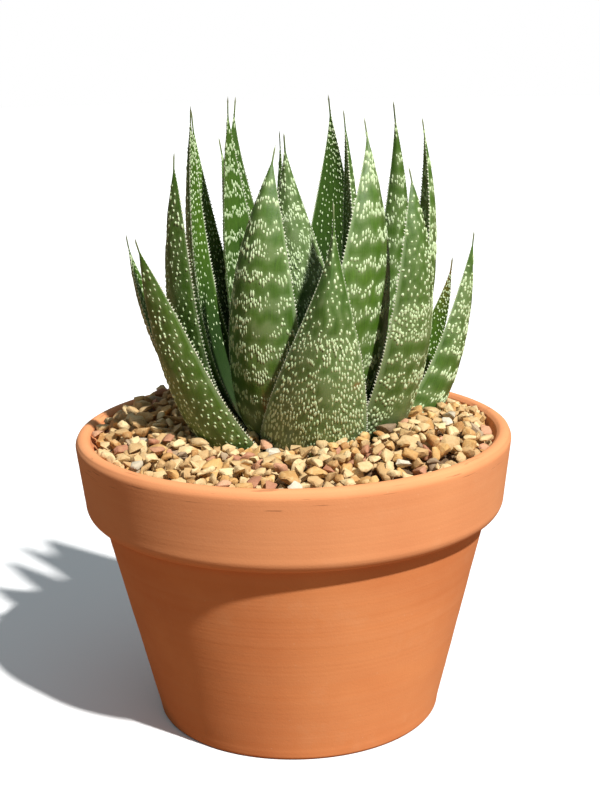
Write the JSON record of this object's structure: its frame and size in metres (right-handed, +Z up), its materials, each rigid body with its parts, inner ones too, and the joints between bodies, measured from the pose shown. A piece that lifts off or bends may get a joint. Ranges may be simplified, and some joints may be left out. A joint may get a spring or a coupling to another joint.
{
  "type": "potted lace aloe",
  "caption": "Rosette of upright, tapering, spotted and toothed leaves in a round tapered clay pot with a deep collar, top-dressed with angular gravel.",
  "frame": {"origin": "centre of the pot's foot, on the surface that it stands on", "axes": "+Z up along the pot's axis, -Y towards the front of the picture, +X to its right"},
  "size_m": [0.15, 0.15, 0.2125],
  "materials": {
    "terracotta": "smooth unglazed clay",
    "potting_soil": "rough and dark",
    "gravel": "dry angular stones, tan to ochre",
    "stem": "dry and fibrous",
    "leaf": "waxy green with raised white spots"
  },
  "bodies": {
    "root": {"pot": "terracotta", "soil": "potting_soil", "gravel": "gravel", "stem": "stem", "leaf_01": "leaf", "leaf_02": "leaf", "leaf_03": "leaf", "leaf_04": "leaf", "leaf_05": "leaf", "leaf_06": "leaf", "leaf_07": "leaf", "leaf_08": "leaf", "leaf_09": "leaf", "leaf_10": "leaf", "leaf_11": "leaf", "leaf_12": "leaf", "leaf_13": "leaf", "leaf_14": "leaf", "leaf_15": "leaf", "leaf_16": "leaf", "leaf_17": "leaf", "leaf_18": "leaf", "leaf_19": "leaf", "leaf_20": "leaf", "leaf_21": "leaf", "leaf_22": "leaf", "leaf_23": "leaf"}
  },
  "joints": []
}
